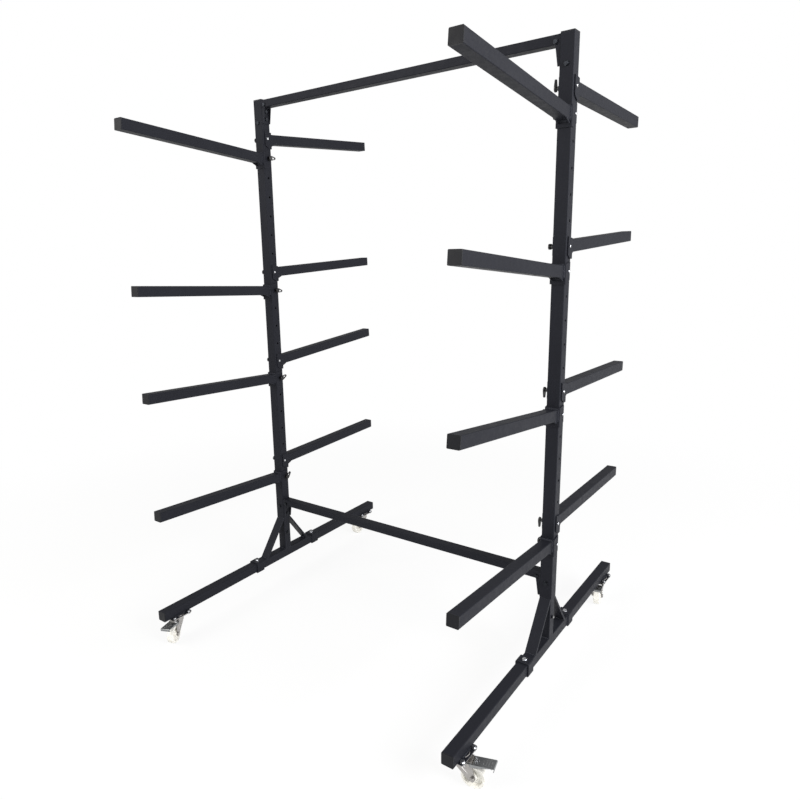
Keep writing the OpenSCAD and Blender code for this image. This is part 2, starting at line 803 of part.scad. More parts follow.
// Fork: a domed crown that turns on the kingpin, a yoke, two tapered cheeks and the axle bolt
module fork(sx, sy) {
    boss_r = axle_r + 7;
    crown_r = 23;
    yoke_top = crown_low + yoke_t;
    color(zinc)
        caster_place(sx, sy) {
            difference() {
                union() {
                    rotate_extrude($fn = 64)
                        polygon([
                            [0, crown_low], [crown_r, crown_low], [crown_r + 1, crown_low + 2],
                            [crown_r, crown_top - 1.5], [crown_r - 2, crown_top], [0, crown_top]
                        ]);
                    translate([-17, -fork_out, crown_low])
                        cube([pedal_x + 27, 2 * fork_out, yoke_t]);
                    for (s = [-1, 1])
                        in_xz(s * (fork_in + fork_t / 2), fork_t)
                            fork_cheek(boss_r, yoke_top);
                }
                translate([0, 0, crown_low - cut])
                    cylinder(r = king_r + run, h = crown_top - crown_low + 2 * cut, $fn = 48);
            }
            // axle bolt through both cheeks, its nut toward -Y
            translate([trail, -fork_out - nut_h - bolt_end, wheel_r])
                along_y() cylinder(r = axle_r, h = 2 * fork_out + nut_h + bolt_end + 1, $fn = 32);
            translate([trail, -fork_out - nut_h, wheel_r])
                along_y() cylinder(d = bolt_af / cos(30), h = nut_h, $fn = 6);
            translate([trail, fork_out, wheel_r])
                along_y() cylinder(d = bolt_af / cos(30), h = bolt_head, $fn = 6);
            // studs that carry the brake pedal
            for (s = [0, 1])
                mirror([0, s, 0]) {
                    translate([pedal_x, fork_out - fork_t / 2, pedal_z])
                        along_y() cylinder(r = pedal_pin_r, h = pedal_t + 2 * fit + fork_t / 2, $fn = 32);
                    translate([pedal_x, pedal_out + fit, pedal_z])
                        along_y() cylinder(r = pedal_pin_r + 1.6, h = 1.4, $fn = 32);
                }
        }
}

// Side of the fork: wide under the crown, tapering to the boss round the axle
module fork_cheek(boss_r, top) {
    low = wheel_r - boss_r;
    rounded_outline(
        [
            [-17, top], [pedal_x + 10, top], [pedal_x + 12, top - 16],
            [trail + boss_r, low], [trail - boss_r, low], [-17, top - 16]
        ],
        [1.5, 1.5, 10, boss_r - 0.5, boss_r - 0.5, 8]
    );
}

// Wheel: a turned nylon body with a round-shouldered tread, a dished web and a hub
module wheel(sx, sy) {
    hub = fork_in - 0.1;
    half = wheel_w / 2;
    bore_r = axle_r + run;
    color(nylon)
        caster_place(sx, sy)
            translate([trail, 0, wheel_r])
                rotate([90, 0, 0])
                    rotate_extrude($fn = 96)
                        polygon([
                            [bore_r, -hub], [bore_r + 5, -hub], [bore_r + 6.5, 1.5 - hub],
                            [bore_r + 8, -half / 2.4], [wheel_r - 11, -half / 2.4],
                            [wheel_r - 9, -half], [wheel_r - 2.6, -half], [wheel_r - 0.8, 0.9 - half],
                            [wheel_r, 2.8 - half], [wheel_r, half - 2.8],
                            [wheel_r - 0.8, half - 0.9], [wheel_r - 2.6, half], [wheel_r - 9, half],
                            [wheel_r - 11, half / 2.4], [bore_r + 8, half / 2.4],
                            [bore_r + 6.5, hub - 1.5], [bore_r + 5, hub], [bore_r, hub]
                        ]);
}

// Brake pedal: a tread plate over the wheel with a rolled lip, two hinge cheeks,
// a shoe that meets the wheel when the pedal is pressed, and a release tab
module pedal(sx, sy) {
    back_x = pedal_x + 13;
    back_z = pedal_z + 5;
    tip_z = back_z + pedal_rise;
    shoe_low = wheel_d + 2.8;
    cheek_x = pedal_reach - 16;
    color(grey_steel)
        caster_place(sx, sy) {
            difference() {
                union() {
                    // tread plate and its lip
                    in_xz(0, 2 * pedal_out)
                        rounded_outline(
                            [
                                [back_x, back_z], [pedal_reach, tip_z], [pedal_reach - 3, tip_z - pedal_lip],
                                [pedal_reach - 3 - pedal_t, tip_z - pedal_lip],
                                [pedal_reach - pedal_t, tip_z - pedal_t], [back_x, back_z - pedal_t]
                            ],
                            [0.8, pedal_t + 1, 0.8, 0.8, 1, 0.8]
                        );
                    // hinge cheeks
                    for (s = [-1, 1])
                        in_xz(s * (pedal_in + pedal_t / 2), pedal_t)
                            rounded_outline(
                                [
                                    [pedal_x - 7, pedal_z + 6], [back_x, back_z],
                                    [cheek_x, tip_z - pedal_rise * 16 / (pedal_reach - back_x)],
                                    [cheek_x, tip_z - 4.5], [back_x + 4, pedal_z - 5],
                                    [pedal_x - 7, pedal_z - 6]
                                ],
                                [5, 1, 0.8, 1.2, 5, 5]
                            );
                    // shoe over the wheel
                    translate([trail + 4, -wheel_w / 2 + 3, shoe_low])
                        cube([10, wheel_w - 6, back_z - shoe_low]);
                    // release tab under the lip
                    translate([pedal_reach - 14, -8, tip_z - 16])
                        cube([pedal_t, 16, 13]);
                }
                translate([pedal_x, -pedal_out - cut, pedal_z])
                    along_y() cylinder(r = pedal_pin_r + run, h = 2 * pedal_out + 2 * cut, $fn = 32);
            }
        }
}

base(left);  // base_left
base(right);  // base_right
upright(left);  // upright_left
upright(right);  // upright_right
crossbar(top_bar_z);  // crossbar_top
crossbar(low_bar_z);  // crossbar_bottom
crossbar_brackets();
leg(left, front);  // leg_front_left
leg(right, front);  // leg_front_right
leg(left, rear);  // leg_rear_left
leg(right, rear);  // leg_rear_right
arm(left, front, 1);  // arm_front_left_1
arm(left, front, 2);  // arm_front_left_2
arm(left, front, 3);  // arm_front_left_3
arm(left, front, 4);  // arm_front_left_4
arm(right, front, 1);  // arm_front_right_1
arm(right, front, 2);  // arm_front_right_2
arm(right, front, 3);  // arm_front_right_3
arm(right, front, 4);  // arm_front_right_4
arm(left, rear, 1);  // arm_rear_left_1
arm(left, rear, 2);  // arm_rear_left_2
arm(left, rear, 3);  // arm_rear_left_3
arm(left, rear, 4);  // arm_rear_left_4
arm(right, rear, 1);  // arm_rear_right_1
arm(right, rear, 2);  // arm_rear_right_2
arm(right, rear, 3);  // arm_rear_right_3
arm(right, rear, 4);  // arm_rear_right_4
lock_pin(left, front, 1);  // pin_front_left_1
lock_pin(left, front, 2);  // pin_front_left_2
lock_pin(left, front, 3);  // pin_front_left_3
lock_pin(left, front, 4);  // pin_front_left_4
lock_pin(right, front, 1);  // pin_front_right_1
lock_pin(right, front, 2);  // pin_front_right_2
lock_pin(right, front, 3);  // pin_front_right_3
lock_pin(right, front, 4);  // pin_front_right_4
lock_pin(left, rear, 1);  // pin_rear_left_1
lock_pin(left, rear, 2);  // pin_rear_left_2
lock_pin(left, rear, 3);  // pin_rear_left_3
lock_pin(left, rear, 4);  // pin_rear_left_4
lock_pin(right, rear, 1);  // pin_rear_right_1
lock_pin(right, rear, 2);  // pin_rear_right_2
lock_pin(right, rear, 3);  // pin_rear_right_3
lock_pin(right, rear, 4);  // pin_rear_right_4
fork(left, front);  // fork_front_left
fork(right, front);  // fork_front_right
fork(left, rear);  // fork_rear_left
fork(right, rear);  // fork_rear_right
wheel(left, front);  // wheel_front_left
wheel(right, front);  // wheel_front_right
wheel(left, rear);  // wheel_rear_left
wheel(right, rear);  // wheel_rear_right
pedal(left, front);  // pedal_front_left
pedal(right, front);  // pedal_front_right
pedal(left, rear);  // pedal_rear_left
pedal(right, rear);  // pedal_rear_right
tube_end_caps();
arm_end_caps();
frame_bolts();
caster_plates();
caster_bolts();
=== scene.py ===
# %% [markdown]
# # A wheeled kayak rack of square steel tube
# The rack is a real product in painted steel: two uprights, two crossbars, sixteen arms on saddles,
# sixteen pull pins and four braked casters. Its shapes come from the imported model. This lesson gives
# them their finishes, adds what a drawing leaves out, such as weld beads and ball races, and sets the
# camera and the light.

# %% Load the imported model
import bpy
import math
import numpy as np
from mathutils import Euler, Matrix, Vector


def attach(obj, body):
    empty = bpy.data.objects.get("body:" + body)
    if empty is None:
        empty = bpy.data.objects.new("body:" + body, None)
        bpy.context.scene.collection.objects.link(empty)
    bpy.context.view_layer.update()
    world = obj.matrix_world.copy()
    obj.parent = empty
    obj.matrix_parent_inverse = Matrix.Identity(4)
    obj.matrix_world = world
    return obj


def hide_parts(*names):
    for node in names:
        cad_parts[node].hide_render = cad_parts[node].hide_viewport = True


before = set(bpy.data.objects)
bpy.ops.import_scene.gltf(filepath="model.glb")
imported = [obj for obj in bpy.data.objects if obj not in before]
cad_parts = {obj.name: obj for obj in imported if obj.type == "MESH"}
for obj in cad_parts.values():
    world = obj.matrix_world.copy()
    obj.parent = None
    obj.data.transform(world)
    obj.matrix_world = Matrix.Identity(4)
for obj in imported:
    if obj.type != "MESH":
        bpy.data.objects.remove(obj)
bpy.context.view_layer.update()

# %% [markdown]
# ## The camera
# A product photograph is easiest to match when the camera is solved, not guessed. Fitting about sixty
# outline points of the rack gave where the lens was, which way it looked and how long it was. The
# picture was cropped off centre, and a small horizontal lens shift stands for that.

# %% Camera
PICTURE = 800.0                # width and height of the picture, in pixels
FOCAL_LENGTH = 659.45          # in pixels
AXIS_X, AXIS_Y = 352.27, 399.0     # where the axis of the lens meets the picture, in pixels
SENSOR = 36.0                  # width of the sensor, in millimetres
CAMERA_PLACE = (1.4681, -2.1584, 1.5707)
CAMERA_TURN = (77.106, 1.647, 37.624)      # degrees about X, Y and Z

camera_data = bpy.data.cameras.new("rack_camera")
camera_data.sensor_fit = "HORIZONTAL"
camera_data.sensor_width = SENSOR
camera_data.lens = FOCAL_LENGTH / PICTURE * SENSOR
camera_data.shift_x = (PICTURE / 2 - AXIS_X) / PICTURE
camera_data.shift_y = (AXIS_Y - PICTURE / 2) / PICTURE
camera_data.clip_start = 0.05
camera_data.clip_end = 60.0
camera = bpy.data.objects.new("rack_camera", camera_data)
camera.location = CAMERA_PLACE
camera.rotation_euler = Euler([math.radians(a) for a in CAMERA_TURN], "XYZ")
bpy.context.scene.collection.objects.link(camera)
bpy.context.scene.camera = camera
print("lens", round(camera_data.lens, 2), "mm")

# %% [markdown]
# ## Colours and nodes
# Colours are picked on screen as sRGB hex values, but shaders work in linear light, so one function
# turns them. Another adds a shader node with its settings and links, which keeps each material short
# enough to read as a recipe.

# %% Helpers for materials
MM = 0.001


def linear(hex_colour):
    """sRGB hex to linear RGBA: c/12.92 up to 0.04045, ((c + 0.055)/1.055) to the power 2.4 above."""
    srgb = np.array([int(hex_colour[i:i + 2], 16) / 255.0 for i in (1, 3, 5)])
    low, high = srgb / 12.92, ((srgb + 0.055) / 1.055) ** 2.4
    return (*np.where(srgb <= 0.04045, low, high).tolist(), 1.0)


def feed(node, **inputs):
    """Gives a node's sockets their values or links. A socket is named with _ for a space, or numbered
    as in s0, s1 where names repeat."""
    for name, value in inputs.items():
        key = int(name[1:]) if name[0] == "s" and name[1:].isdigit() else name.replace("_", " ")
        if isinstance(value, bpy.types.NodeSocket):
            node.id_data.links.new(value, node.inputs[key])
        else:
            node.inputs[key].default_value = value


def add_node(tree, kind, settings=None, **inputs):
    """One shader node: settings are its attributes, inputs its sockets."""
    node = tree.nodes.new(kind)
    for name, value in (settings or {}).items():
        setattr(node, name, value)
    feed(node, **inputs)
    return node


def find_node(tree, kind):
    """The first node of a kind in the tree."""
    return next(node for node in tree.nodes if node.type == kind)


def new_material(name):
    """A material with only a Principled shader and its output, ready for a recipe."""
    material = bpy.data.materials.new(name)
    material.use_nodes = True
    tree = material.node_tree
    tree.nodes.clear()
    shader = add_node(tree, "ShaderNodeBsdfPrincipled")
    add_node(tree, "ShaderNodeOutputMaterial", s0=shader.outputs[0])
    return material, tree, shader


print("linear of #808080:", round(linear("#808080")[0], 4))

# %% [markdown]
# ## Powder coat
# The tubes are mild steel under a polyester powder coat, near black with a trace of blue. Powder melts
# into a skin with a fine orange peel, about a millimetre and a half across, so the gloss is broken and
# the sharp edges of the steel are softened. A Bevel node gives that softening in the shading alone.
# Handling leaves faint paler scuffs and thin spots on the edges, and the edges also take a painted
# highlight where their rounded corners catch the lamps. This coat looks nearly flat under soft light, so
# its specular level is far below that of a glossy paint, and its tone comes from the base colour.

# %% Powder coat
def powder_coat(name, dark, pale, edge, roughness):
    """Black powder coat: two close tones in slow drifts, orange peel bump, worn edges with painted
    highlight.
    """
    drift_size, scuff_size, peel_size, peel_depth = 260 * MM, 22 * MM, 1.5 * MM, 0.06 * MM
    edge_radius = 1.5 * MM
    edge_wear_and_highlight_share, scuff_share = 0.55, 0.07       # of the edge colour: on edges as wear and painted highlight, and in scuffs
    material, tree, shader = new_material(name)
    place = add_node(tree, "ShaderNodeTexCoord").outputs["Object"]
    drift = add_node(tree, "ShaderNodeTexNoise", Vector=place, Scale=1 / drift_size, Detail=3.0)
    peel = add_node(tree, "ShaderNodeTexNoise", Vector=place, Scale=1 / peel_size, Detail=2.0)
    scuff = add_node(tree, "ShaderNodeTexNoise", Vector=place, Scale=1 / scuff_size, Detail=6.0,
                     Roughness=0.65)
    scuff_mask = add_node(tree, "ShaderNodeMapRange", Value=scuff.outputs["Fac"], From_Min=0.58,
                          From_Max=0.78)
    tone = add_node(tree, "ShaderNodeMix", {"data_type": "RGBA"}, s0=drift.outputs["Fac"],
                    s6=linear(dark), s7=linear(pale))
    # painted highlight and wear: the edge colour goes where the rounded normal leaves the true one
    rounded = add_node(tree, "ShaderNodeBevel", {"samples": 4}, Radius=edge_radius)
    flat = add_node(tree, "ShaderNodeNewGeometry")
    agree = add_node(tree, "ShaderNodeVectorMath", {"operation": "DOT_PRODUCT"},
                     s0=rounded.outputs["Normal"], s1=flat.outputs["Normal"])
    edge_wear_and_highlight_mask = add_node(tree, "ShaderNodeMapRange", Value=agree.outputs["Value"], From_Min=0.985,
                         From_Max=0.90)
    edge_wear_and_highlight_part = add_node(tree, "ShaderNodeMath", {"operation": "MULTIPLY"},
                         s0=edge_wear_and_highlight_mask.outputs["Result"], s1=edge_wear_and_highlight_share)
    with_edge_wear_and_highlight = add_node(tree, "ShaderNodeMix", {"data_type": "RGBA"}, s0=edge_wear_and_highlight_part.outputs[0],
                         s6=tone.outputs[2], s7=linear(edge))
    scuff_part = add_node(tree, "ShaderNodeMath", {"operation": "MULTIPLY"},
                          s0=scuff_mask.outputs["Result"], s1=scuff_share)
    colour = add_node(tree, "ShaderNodeMix", {"data_type": "RGBA"}, s0=scuff_part.outputs[0],
                      s6=with_edge_wear_and_highlight.outputs[2], s7=linear(edge))
    gloss = add_node(tree, "ShaderNodeMapRange", Value=scuff.outputs["Fac"], From_Min=0.3,
                     From_Max=0.7, To_Min=roughness[0], To_Max=roughness[1])
    bump = add_node(tree, "ShaderNodeBump", Height=peel.outputs["Fac"], Strength=0.25,
                    Distance=peel_depth, Normal=rounded.outputs["Normal"])
    feed(shader, Base_Color=colour.outputs[2], Roughness=gloss.outputs["Result"],
         Normal=bump.outputs["Normal"], Specular_IOR_Level=0.07, Specular_Tint=linear("#ECECF2"))
    return material


# the third colour serves the scuffs, and the edges as wear and a painted highlight
coat = powder_coat("black_blue_powder_coat", "#1C1D22", "#25262B", "#505259", (0.38, 0.54))
print("powder coat:", coat.name)

# %% [markdown]
# ## Moulded plastics
# The end caps are black polyethylene and the wheels white nylon, both injection moulded. The caps are
# a little blacker and more matt than the paint. Both have the fine spark texture of the mould, half a
# millimetre to a millimetre across.

# %% Cap and wheel plastic
def moulded_plastic(name, colour, roughness, grain_size, strength, specular):
    """Moulded plastic: one colour that drifts slightly, with a fine spark texture as bump."""
    drift_size, edge_radius, grain_depth = 30 * MM, 0.8 * MM, 0.05 * MM
    material, tree, shader = new_material(name)
    place = add_node(tree, "ShaderNodeTexCoord").outputs["Object"]
    drift = add_node(tree, "ShaderNodeTexNoise", Vector=place, Scale=1 / drift_size, Detail=4.0)
    value = add_node(tree, "ShaderNodeMapRange", Value=drift.outputs["Fac"], From_Min=0.3,
                     From_Max=0.7, To_Min=0.85, To_Max=1.15)
    tint = add_node(tree, "ShaderNodeHueSaturation", Color=linear(colour), Value=value.outputs["Result"])
    grain = add_node(tree, "ShaderNodeTexNoise", Vector=place, Scale=1 / grain_size, Detail=2.0)
    rounded = add_node(tree, "ShaderNodeBevel", {"samples": 4}, Radius=edge_radius)
    bump = add_node(tree, "ShaderNodeBump", Height=grain.outputs["Fac"], Strength=strength,
                    Distance=grain_depth, Normal=rounded.outputs["Normal"])
    gloss = add_node(tree, "ShaderNodeMapRange", Value=drift.outputs["Fac"], From_Min=0.3,
                     From_Max=0.7, To_Min=roughness - 0.05, To_Max=roughness + 0.07)
    feed(shader, Base_Color=tint.outputs["Color"], Roughness=gloss.outputs["Result"],
         Normal=bump.outputs["Normal"], Specular_IOR_Level=specular)
    return material


cap_black = moulded_plastic("black_polyethylene", "#101116", 0.48, 0.6 * MM, 0.35, 0.22)
wheel_nylon = moulded_plastic("white_nylon", "#E6E4DC", 0.38, 0.9 * MM, 0.2, 0.5)
print("plastics:", cap_black.name, wheel_nylon.name)

# %% [markdown]
# ## Zinc plate
# Bolts, pins and the pressed caster parts are steel with a bright zinc plate. The plate is almost a
# mirror, dulled by a thin cloudy passivation film in patches a few millimetres across, and by fine
# rolling lines from the sheet. Most bolts of the frame are blackened instead, and the pedals have a
# darker, greyer plate than the forks.

# %% Zinc and steel
def plated_steel(name, bright, dull, roughness, cloud_size, line_strength):
    """Plated steel: metallic, with cloudy patches that change colour and gloss, and fine lines."""
    line_length, line_depth, edge_radius = 4 * MM, 0.03 * MM, 0.6 * MM
    slimness = 14.0            # length of a line over its thickness
    material, tree, shader = new_material(name)
    place = add_node(tree, "ShaderNodeTexCoord").outputs["Object"]
    cloud = add_node(tree, "ShaderNodeTexNoise", Vector=place, Scale=1 / cloud_size, Detail=5.0,
                     Roughness=0.6)
    tone = add_node(tree, "ShaderNodeMix", {"data_type": "RGBA"}, s0=cloud.outputs["Fac"],
                    s6=linear(dull), s7=linear(bright))
    gloss = add_node(tree, "ShaderNodeMapRange", Value=cloud.outputs["Fac"], From_Min=0.3,
                     From_Max=0.7, To_Min=roughness[1], To_Max=roughness[0])
    stretch = add_node(tree, "ShaderNodeMapping", Vector=place, Scale=(1.0, 1.0, slimness))
    lines = add_node(tree, "ShaderNodeTexNoise", Vector=stretch.outputs[0], Scale=1 / line_length,
                     Detail=3.0)
    rounded = add_node(tree, "ShaderNodeBevel", {"samples": 4}, Radius=edge_radius)
    bump = add_node(tree, "ShaderNodeBump", Height=lines.outputs["Fac"], Strength=line_strength,
                    Distance=line_depth, Normal=rounded.outputs["Normal"])
    feed(shader, Base_Color=tone.outputs[2], Roughness=gloss.outputs["Result"],
         Normal=bump.outputs["Normal"], Metallic=1.0)
    return material


bolt_black = plated_steel("black_oxide_steel", "#34363A", "#202226", (0.24, 0.4), 6 * MM, 0.1)
bolt_zinc = plated_steel("bright_zinc", "#DADBDD", "#B9BBBE", (0.2, 0.34), 6 * MM, 0.1)
fork_zinc = plated_steel("pressed_zinc_sheet", "#C4C0BA", "#929192", (0.28, 0.44), 9 * MM, 0.2)
pedal_steel = plated_steel("grey_plated_steel", "#A6A8A8", "#7E8082", (0.34, 0.5), 8 * MM, 0.25)
print("metals:", bolt_black.name, bolt_zinc.name, fork_zinc.name, pedal_steel.name)

# %% [markdown]
# ## Pull pins
# Each pin is zinc-plated steel. Its pull loop and the neck that carries it are dipped in black vinyl.
# Shaft and loop are one solid in the model, so the material tells them apart by where they are: all
# that stands out of the saddle on the loop's side is black. That side is the inner one, towards the
# other upright, for all pins but the four at the left rear.

# %% Pin material
UPRIGHT_X = 664 * MM           # distance from the middle of the rack to the middle of an upright
NECK_START = 27.5 * MM         # from the middle of the upright to where the vinyl begins


def pin_material(name, outwards):
    """Zinc shaft and black loop: a point is vinyl where outwards (|x| - UPRIGHT_X) is above
    NECK_START, outwards being -1 for a loop on the inner side and 1 for one on the outer side."""
    material = plated_steel(name, "#DADBDD", "#B4B6B9", (0.2, 0.34), 6 * MM, 0.1)
    tree = material.node_tree
    shader = find_node(tree, "BSDF_PRINCIPLED")
    place = add_node(tree, "ShaderNodeTexCoord").outputs["Object"]
    split = add_node(tree, "ShaderNodeSeparateXYZ", Vector=place)
    away = add_node(tree, "ShaderNodeMath", {"operation": "ABSOLUTE"}, s0=split.outputs["X"])
    centred = add_node(tree, "ShaderNodeMath", {"operation": "SUBTRACT"}, s0=away.outputs[0],
                       s1=UPRIGHT_X)
    reach = add_node(tree, "ShaderNodeMath", {"operation": "MULTIPLY"}, s0=centred.outputs[0],
                     s1=float(outwards))
    loop = add_node(tree, "ShaderNodeMath", {"operation": "GREATER_THAN"}, s0=reach.outputs[0],
                    s1=NECK_START)
    metal_colour = shader.inputs["Base Color"].links[0].from_socket
    colour = add_node(tree, "ShaderNodeMix", {"data_type": "RGBA"}, s0=loop.outputs[0],
                      s6=metal_colour, s7=linear("#0C0C0F"))
    metal = add_node(tree, "ShaderNodeMath", {"operation": "SUBTRACT"}, s0=1.0, s1=loop.outputs[0])
    feed(shader, Base_Color=colour.outputs[2], Metallic=metal.outputs[0])
    return material


pin_inner = pin_material("pin_zinc_inner_loop", -1)
pin_outer = pin_material("pin_zinc_outer_loop", 1)
print("pin finishes:", pin_inner.name, pin_outer.name)

# %% [markdown]
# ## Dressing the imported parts
# The exact solids already have the right shape, so they stay and only take a better finish. Each node
# takes the first finish in the list whose word begins its name.

# %% Assign the finishes
FINISHES = (
    ("base_", coat), ("upright_", coat), ("crossbar_", coat), ("leg_", coat),
    ("arm_end_caps", cap_black), ("tube_end_caps", cap_black), ("arm_", coat),
    ("pin_rear_left", pin_outer), ("pin_", pin_inner),
    ("fork_", fork_zinc), ("wheel_", wheel_nylon), ("pedal_", pedal_steel),
    ("frame_bolts", bolt_zinc), ("caster_bolts", bolt_zinc), ("caster_plates", fork_zinc),
)
for name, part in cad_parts.items():
    finish = next(material for start, material in FINISHES if name.startswith(start))
    for material_slot in part.material_slots:
        material_slot.material = finish
print("dressed", len(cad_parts), "parts")

# %% [markdown]
# ## Surfaces from numbers
# The small pieces that follow are all rings carried along something: a profile round an axis, or a
# round section along a path. One function turns such rings into a closed skin, and another puts many
# skins into one mesh. The work is done on whole arrays, which is both short and fast.

# %% Rings to a mesh
def circle_angles(count):
    """Even steps round a full turn."""
    return np.linspace(0, 2 * np.pi, count, endpoint=False)


def rings_along(path, u, v, count):
    """Rings of count points: about each point p of the path p + u cos b + v sin b, b going round."""
    b = circle_angles(count)[:, None]
    return path[:, None, :] + np.cos(b) * u[:, None, :] + np.sin(b) * v[:, None, :]


def skin(rings, closed=False):
    """Closed skin over rings of points, an array (n, m, 3). Ring r is joined to ring r + 1 by quads.
    If closed, the last ring is joined to the first, else each end is shut by a fan to its middle."""
    n, m = rings.shape[:2]
    r = np.arange(n if closed else n - 1)[:, None]
    c = np.arange(m)[None, :]
    after, beside = (r + 1) % n, (c + 1) % m
    quads = np.stack([r * m + c, r * m + beside, after * m + beside, after * m + c], axis=-1)
    points = rings.reshape(-1, 3)
    faces = quads.reshape(-1, 4).tolist()
    if not closed:
        points = np.vstack([points, rings[0].mean(axis=0), rings[-1].mean(axis=0)])
        around = np.arange(m)
        beside = (around + 1) % m
        last = (n - 1) * m
        faces += np.stack([np.full(m, n * m), beside, around], axis=-1).tolist()
        faces += np.stack([np.full(m, n * m + 1), last + around, last + beside], axis=-1).tolist()
    return points, faces


def add_piece(name, skins, materials, body, finish_of=None):
    """One object from many skins: their points one after another, their faces shifted to match.
    finish_of gives the number of each skin's material."""
    counts = np.cumsum([0] + [len(points) for points, _ in skins])
    faces = [[i + shift for i in face] for (_, own), shift in zip(skins, counts) for face in own]
    mesh = bpy.data.meshes.new(name)
    mesh.from_pydata(np.vstack([points for points, _ in skins]).tolist(), [], faces)
    for material in materials:
        mesh.materials.append(material)
    if finish_of is not None:
        numbers = np.repeat(finish_of, [len(own) for _, own in skins])
        mesh.polygons.foreach_set("material_index", numbers.astype(np.int32))
    mesh.update()
    piece = bpy.data.objects.new(name, mesh)
    bpy.context.scene.collection.objects.link(piece)
    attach(piece, body)
    print(name, "-", len(skins), "skins,", len(faces), "faces")
    return piece


print("four steps round:", circle_angles(4).round(2))

# %% [markdown]
# ## Weld beads
# Every arm is MIG welded to its saddle, and the post, braces and sleeves of the feet are welded too.
# A MIG bead is a rounded ridge with a scale every two or three millimetres, where the puddle froze. It
# is made as a round section carried along the joint, whose radius swells along each scale and drops at
# its end. At the arms the drawn model has a plain fillet, and the ridge lies over that.

# %% Bead along a joint
SCALE_LENGTH = 2.8 * MM        # one frozen scale of the weld
BEAD_RADIUS = 2.7 * MM
BEAD_OUT = 0.6 * MM            # how far the bead's middle stands out of the corner
BEAD_STEP = 0.7 * MM           # from one ring to the next


def weld_bead(path, out, closed=False):
    """Bead on a path (n, 3): at each point a ring radius * (cos b u + sin b v), b from 0 to 2 pi, with
    u the part of out at right angles to the path and v = t x u. The radius is BEAD_RADIUS times
    0.88 + 0.22 f, f being how far along its scale the point is, and shrinks to a quarter at open ends."""
    if closed:
        tangent = np.roll(path, -1, axis=0) - np.roll(path, 1, axis=0)
    else:
        tangent = np.gradient(path, axis=0)
    tangent /= np.linalg.norm(tangent, axis=1)[:, None]
    u = out - (out * tangent).sum(axis=1)[:, None] * tangent
    u /= np.linalg.norm(u, axis=1)[:, None]
    v = np.cross(tangent, u)
    steps = np.linalg.norm(np.diff(path, axis=0, append=path[:1]), axis=1)
    along = np.concatenate([[0.0], np.cumsum(steps[:-1])])
    total = along[-1] + (steps[-1] if closed else 0.0)
    scales = max(round(total / SCALE_LENGTH), 1)
    radius = BEAD_RADIUS * (0.88 + 0.22 * ((along / total * scales) % 1.0))
    if not closed:
        radius *= np.sqrt(np.clip(np.minimum(along, total - along) / (1.5 * BEAD_RADIUS) + 0.08, 0, 1))
    return skin(rings_along(path, radius[:, None] * u, radius[:, None] * v, 10), closed)


def straight_bead(start, end, out):
    """Bead on the straight line start + f (end - start), f from 0 to 1 at steps of BEAD_STEP."""
    start, end = np.array(start), np.array(end)
    count = round(np.linalg.norm(end - start) / BEAD_STEP)
    path = start + np.linspace(0, 1, count)[:, None] * (end - start)
    return weld_bead(path, np.broadcast_to(np.array(out, float), path.shape))


print("a bead has a scale every", SCALE_LENGTH / MM, "mm")

# %% [markdown]
# The joint between an arm and its saddle is the arm's own section, seen on the saddle's web. The arms
# rise by a few degrees, each a little differently, which stretches that section by one over the cosine
# of the rise. Front and rear arms are the same form turned half round. The joint where a leg's sleeve
# begins is a section of the same kind, on the tube of the base.

# %% Bead round a tube
TUBE = 40 * MM                 # side of the arm and leg tubes, and depth of the crossbars
TUBE_CORNER = 3 * MM


def round_square(width, height, corner):
    """Outline of a tube's section: four corner arcs, resampled at even steps of arc length. Gives the
    points (n, 2) and their outward directions."""
    quarter = np.linspace(0, np.pi / 2, 9)
    arcs = [np.stack([x * (width / 2 - corner) + corner * np.cos(quarter + start),
                      z * (height / 2 - corner) + corner * np.sin(quarter + start)], axis=-1)
            for x, z, start in ((1, 1, 0), (-1, 1, np.pi / 2), (-1, -1, np.pi), (1, -1, 1.5 * np.pi))]
    outline = np.vstack(arcs + [arcs[0][:1]])
    length = np.concatenate([[0], np.cumsum(np.linalg.norm(np.diff(outline, axis=0), axis=1))])
    even = np.linspace(0, length[-1], round(length[-1] / BEAD_STEP), endpoint=False)
    points = np.stack([np.interp(even, length, outline[:, i]) for i in (0, 1)], axis=-1)
    step = np.roll(points, -1, axis=0) - np.roll(points, 1, axis=0)
    return points, np.stack([step[:, 1], -step[:, 0]], axis=-1)


def section_bead(tall, distance, depth, middle):
    """Bead round a tube's section of the height tall: x and z from round_square, y the distance, all
    turned half round about Z for the front (depth -1) and moved to middle."""
    flat, flat_out = round_square(TUBE + 2 * BEAD_OUT, tall + 2 * BEAD_OUT, TUBE_CORNER + BEAD_OUT)
    path = np.stack([flat[:, 0], np.full(len(flat), distance), flat[:, 1]], axis=-1)
    out = np.stack([flat_out[:, 0], np.zeros(len(flat)), flat_out[:, 1]], axis=-1)
    points, faces = weld_bead(path, out, closed=True)
    return points * (depth, depth, 1) + middle, faces


print("a tube's bead has", len(section_bead(TUBE, 0, 1, (0, 0, 0))[0]), "points")

